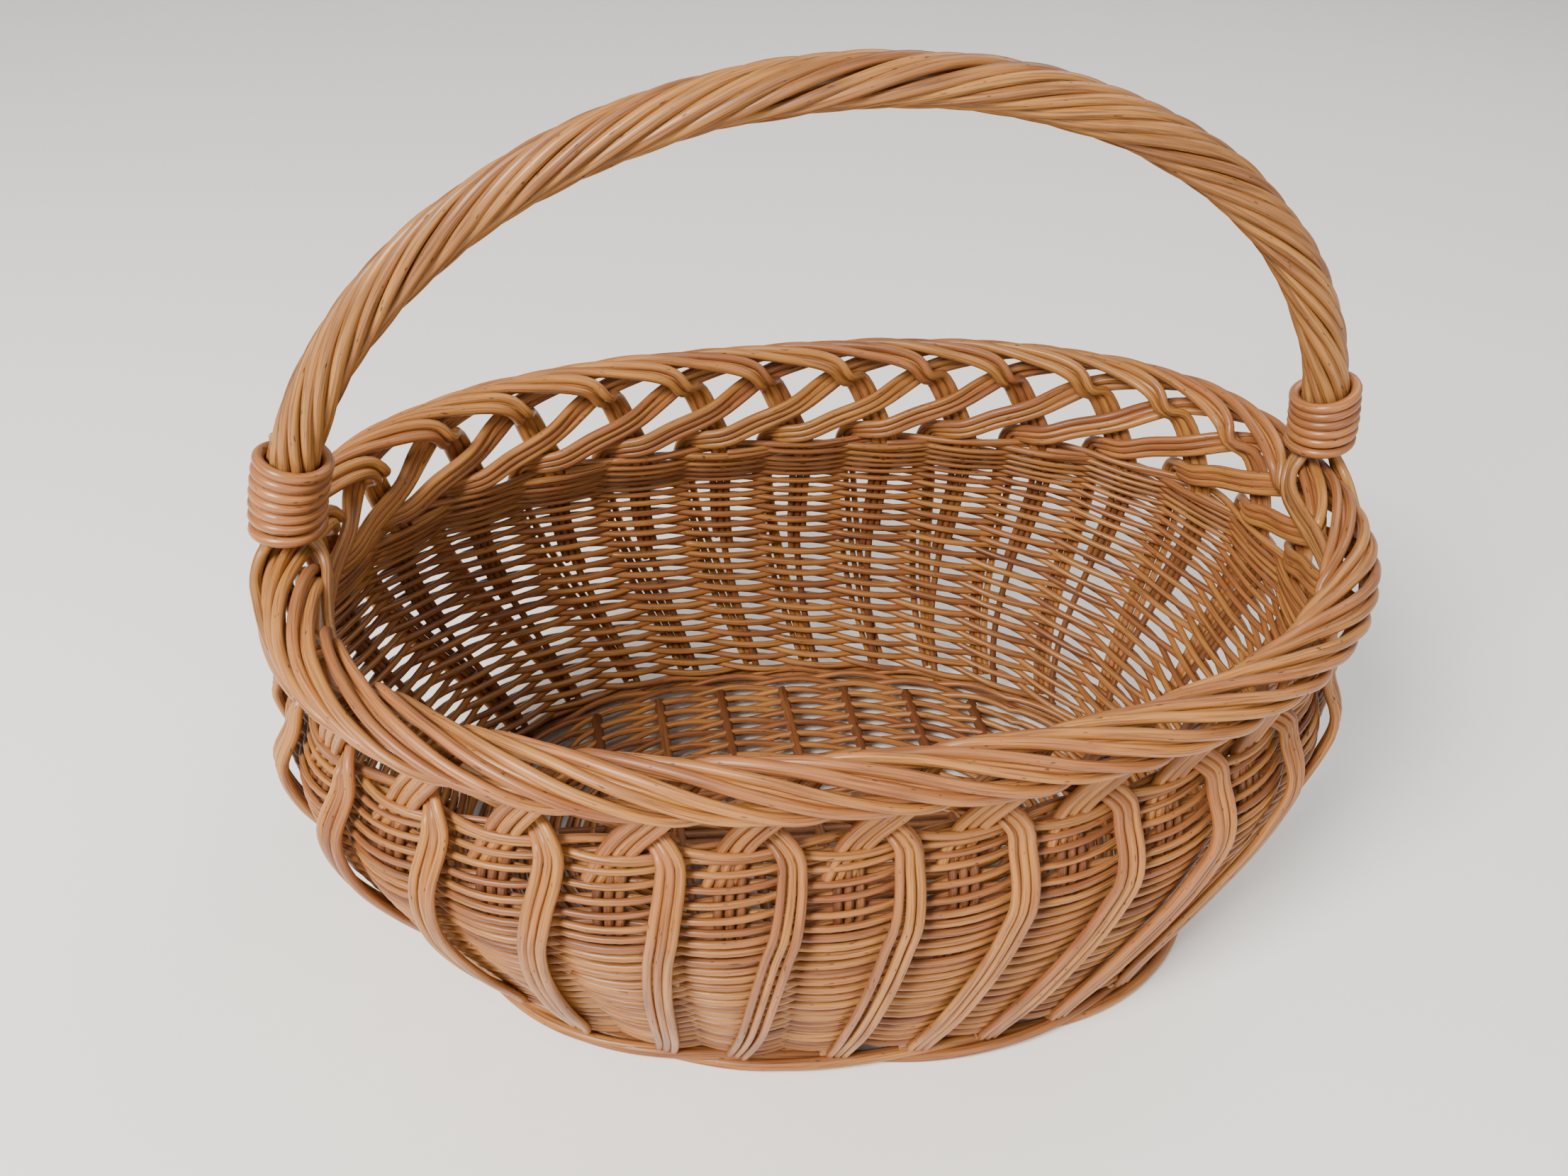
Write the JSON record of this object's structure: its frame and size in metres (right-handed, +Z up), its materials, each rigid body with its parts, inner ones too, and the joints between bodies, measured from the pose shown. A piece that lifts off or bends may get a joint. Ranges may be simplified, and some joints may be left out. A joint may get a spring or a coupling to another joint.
{
  "type": "woven fruit basket",
  "caption": "Oval willow basket with a bulging woven wall, an openwork bow border, a rope rim and a tall fixed twisted handle over its long axis.",
  "frame": {"origin": "middle of the basket's outline, on the floor it stands on", "axes": "+Z up, +X along the long axis of the oval, under the handle's right end"},
  "size_m": [0.4574, 0.307, 0.3775],
  "materials": {
    "weaver_willow": "thin varnished willow weavers, semi-gloss, orange brown, streaked along each rod",
    "bow_willow": "varnished willow rods, semi-gloss, pinkish orange brown with dark specks",
    "handle_willow": "varnished willow rods, semi-gloss, golden brown, lightly worn on top",
    "binding_willow": "smooth varnished willow rod, glossy on its crowns",
    "stick_willow": "thick willow sticks, satin, darker brown"
  },
  "bodies": {
    "root": {"foot_wale": "weaver_willow", "wall_weave": "weaver_willow", "base_weave": "weaver_willow", "base_cross_stick_1": "stick_willow", "base_cross_stick_2": "stick_willow", "base_cross_stick_3": "stick_willow", "base_cross_stick_4": "stick_willow", "base_cross_stick_5": "stick_willow", "base_cross_stick_6": "stick_willow", "base_cross_stick_7": "stick_willow", "base_long_stick_1": "stick_willow", "base_long_stick_2": "stick_willow", "base_long_stick_3": "stick_willow", "bow_01": "bow_willow", "bow_02": "bow_willow", "bow_03": "bow_willow", "bow_04": "bow_willow", "bow_05": "bow_willow", "bow_06": "bow_willow", "bow_07": "bow_willow", "bow_08": "bow_willow", "bow_09": "bow_willow", "bow_10": "bow_willow", "bow_11": "bow_willow", "bow_12": "bow_willow", "bow_13": "bow_willow", "bow_14": "bow_willow", "bow_15": "bow_willow", "bow_16": "bow_willow", "bow_17": "bow_willow", "bow_18": "bow_willow", "bow_19": "bow_willow", "bow_20": "bow_willow", "bow_21": "bow_willow", "bow_22": "bow_willow", "bow_23": "bow_willow", "bow_24": "bow_willow", "bow_25": "bow_willow", "bow_26": "bow_willow", "bow_27": "bow_willow", "bow_28": "bow_willow", "handle_core": "stick_willow", "handle_strand_01": "handle_willow", "handle_strand_02": "handle_willow", "handle_strand_03": "handle_willow", "handle_strand_04": "handle_willow", "handle_strand_05": "handle_willow", "handle_strand_06": "handle_willow", "handle_strand_07": "handle_willow", "handle_strand_08": "handle_willow", "handle_strand_09": "handle_willow", "handle_strand_10": "handle_willow", "left_binding": "binding_willow", "right_binding": "binding_willow", "right_outer_leg": "handle_willow", "right_inner_leg": "handle_willow", "left_outer_leg": "handle_willow", "left_inner_leg": "handle_willow"}
  },
  "joints": []
}
